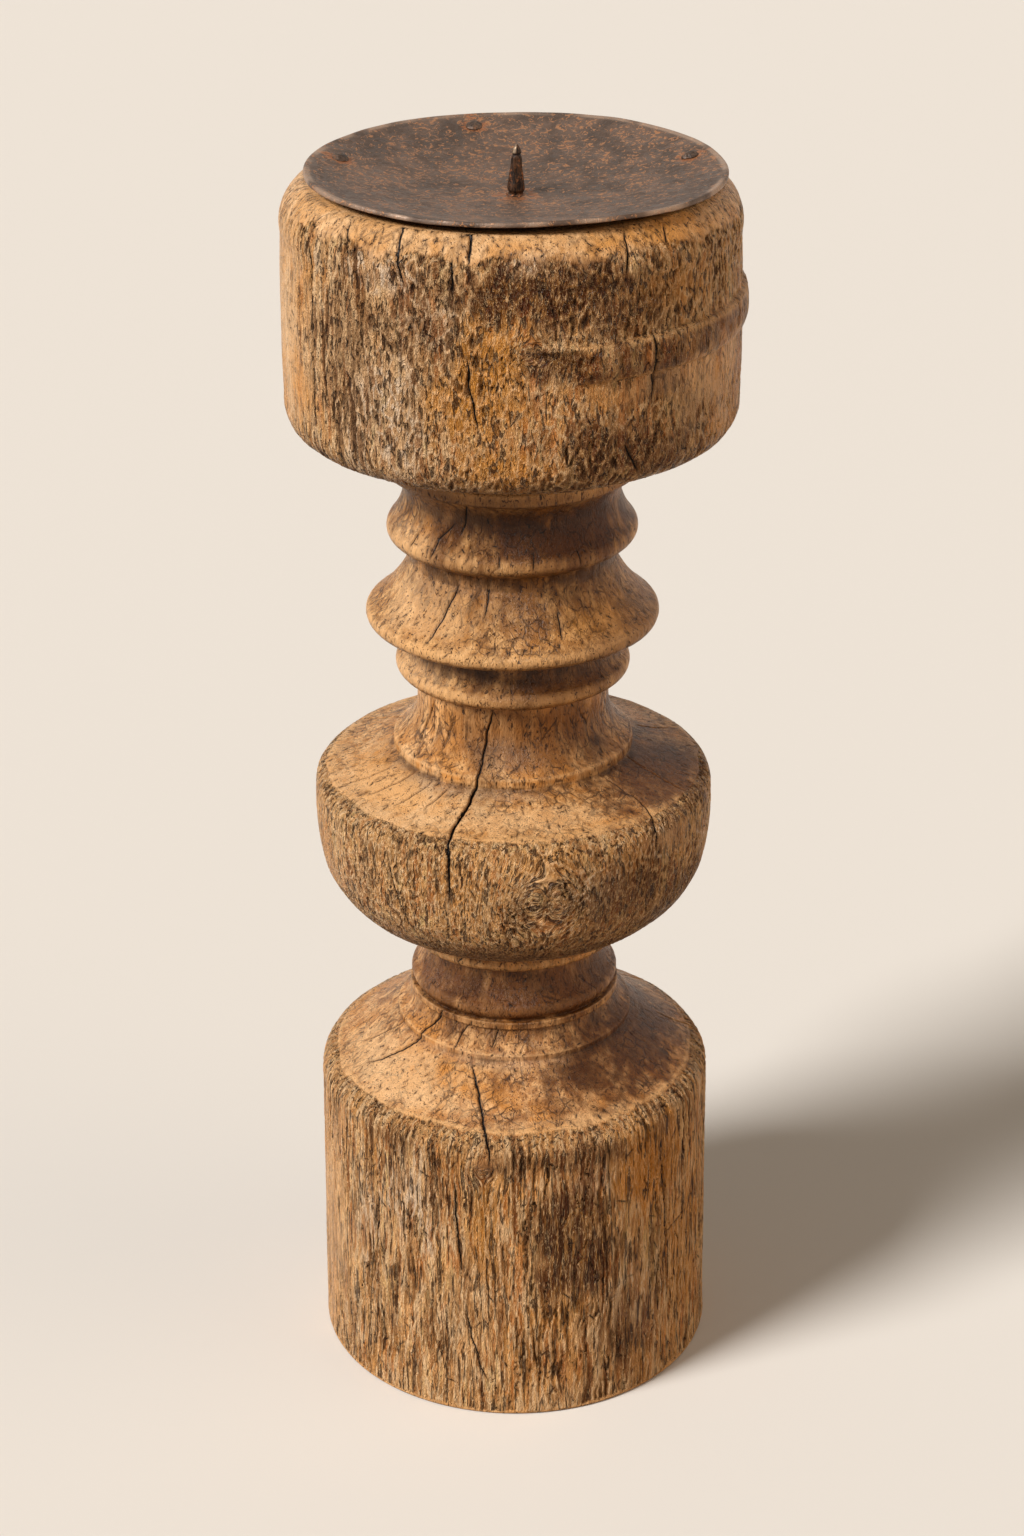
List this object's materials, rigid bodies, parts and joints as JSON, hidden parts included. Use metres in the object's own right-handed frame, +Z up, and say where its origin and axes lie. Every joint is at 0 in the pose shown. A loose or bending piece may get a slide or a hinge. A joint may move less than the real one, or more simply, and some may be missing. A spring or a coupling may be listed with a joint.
{
  "type": "pricket candle stand",
  "caption": "Free-standing turned wooden candle stand: cylindrical base, bowl, beaded knop and drum head, with a dished iron drip pan and a forged pricket spike for a candle.",
  "frame": {"origin": "centre of the foot's flat face, on the floor", "axes": "+Z up along the turning axis; -Y towards the viewer of the picture, so the surviving piece of bead is at +X"},
  "size_m": [0.2257, 0.2256, 0.6594],
  "materials": {
    "base_wood": "turned, dry and weathered, open grain",
    "bowl_wood": "turned, dry and weathered, open grain",
    "knop_wood": "turned, worn smooth, checked",
    "head_wood": "turned, dry and weathered, open grain",
    "pan_iron": "hammered sheet iron, brown rust",
    "pricket_iron": "forged, brown rust",
    "nail_iron": "forged, orange rust"
  },
  "bodies": {
    "root": {"base_block": "base_wood", "bowl_block": "bowl_wood", "knop": "knop_wood", "head_block": "head_wood", "drip_pan": "pan_iron", "pricket": "pricket_iron", "pan_nail_back": "nail_iron", "pan_nail_left": "nail_iron", "pan_nail_right": "nail_iron"}
  },
  "joints": []
}
